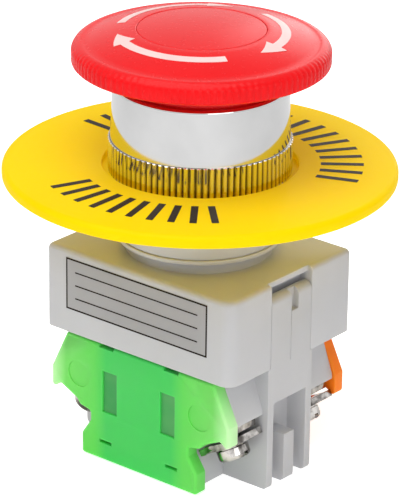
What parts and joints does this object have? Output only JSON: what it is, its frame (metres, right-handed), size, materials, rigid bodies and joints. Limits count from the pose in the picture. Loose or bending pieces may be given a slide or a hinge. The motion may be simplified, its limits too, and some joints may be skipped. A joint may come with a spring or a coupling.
{
  "type": "emergency stop push button",
  "caption": "Panel-mount emergency stop with a red mushroom head that pushes in and twists to release, a round yellow legend plate, a knurled bezel ring and a contact base with terminals.",
  "frame": {"origin": "on the push axis at the underside of the legend plate, the plane of the panel's front face", "axes": "+Z along the push axis, out of the panel towards the user; -Y towards the face with the label field; +X to the right of that face"},
  "size_m": [0.0612, 0.0612, 0.0707],
  "materials": {
    "head_red": "glossy",
    "chrome": "polished",
    "plate_yellow": "satin",
    "seal_rubber": "matte",
    "housing_white": "satin",
    "neck_grey": "satin",
    "cover_green": "satin",
    "cover_orange": "satin",
    "plunger_grey": "satin",
    "spring_steel": "bright",
    "nickel": "plated",
    "brass": "bright"
  },
  "bodies": {
    "base": {"bezel_ring": "chrome", "legend_plate": "plate_yellow", "panel_gasket": "seal_rubber", "upper_spacer": "housing_white", "lower_spacer": "housing_white", "seat_washer": "housing_white", "operator_neck": "neck_grey", "return_spring": "spring_steel", "left_guide_pin": "nickel", "right_guide_pin": "nickel", "base_housing": "housing_white", "contact_base": "housing_white", "front_cover": "cover_green", "rear_cover": "cover_orange", "no_spring": "spring_steel", "nc_spring": "spring_steel", "left_front_arm": "housing_white", "left_rear_arm": "housing_white", "right_front_arm": "housing_white", "right_rear_arm": "housing_white", "no_left_strip": "brass", "no_left_clamp": "nickel", "no_left_washer": "nickel", "no_left_screw": "nickel", "no_right_strip": "brass", "no_right_clamp": "nickel", "no_right_washer": "nickel", "no_right_screw": "nickel", "nc_left_strip": "brass", "nc_left_clamp": "nickel", "nc_left_washer": "nickel", "nc_left_screw": "nickel", "nc_right_strip": "brass", "nc_right_clamp": "nickel", "nc_right_washer": "nickel", "nc_right_screw": "nickel"},
    "plunger": {"pusher": "plunger_grey"},
    "head": {"mushroom_cap": "head_red", "cap_disc": "head_red", "cap_screw": "nickel", "push_stem": "head_red", "release_cam": "plunger_grey", "cam_pin": "nickel", "stem_clip": "spring_steel"},
    "no_carrier": {"no_plunger": "plunger_grey", "no_bridge": "brass"},
    "nc_carrier": {"nc_plunger": "plunger_grey", "nc_bridge": "brass"}
  },
  "joints": [
    {"name": "push", "type": "slide", "parent": "base", "child": "plunger", "axis": [0, 0, -1], "range_m": [0, 0.0045], "stiffness_N_per_m": 1500, "springref_m": -0.01, "deforming": ["return_spring"]},
    {"name": "twist", "type": "hinge", "parent": "plunger", "child": "head", "pos_m": [0, 0, 0], "axis": [0, 0, -1], "range_deg": [0, 45], "stiffness_Nm_per_rad": 0.08, "springref_deg": -17.19},
    {"name": "no_travel", "type": "slide", "parent": "base", "child": "no_carrier", "axis": [0, 0, -1], "range_m": [0, 0.0045], "stiffness_N_per_m": 150, "springref_m": -0.003, "deforming": ["no_spring"]},
    {"name": "nc_travel", "type": "slide", "parent": "base", "child": "nc_carrier", "axis": [0, 0, -1], "range_m": [0, 0.0045], "stiffness_N_per_m": 150, "springref_m": -0.003, "deforming": ["nc_spring"]}
  ],
  "couplings": [
    {"joint": "no_travel", "follows": "push", "ratio": 1},
    {"joint": "nc_travel", "follows": "push", "ratio": 1}
  ]
}
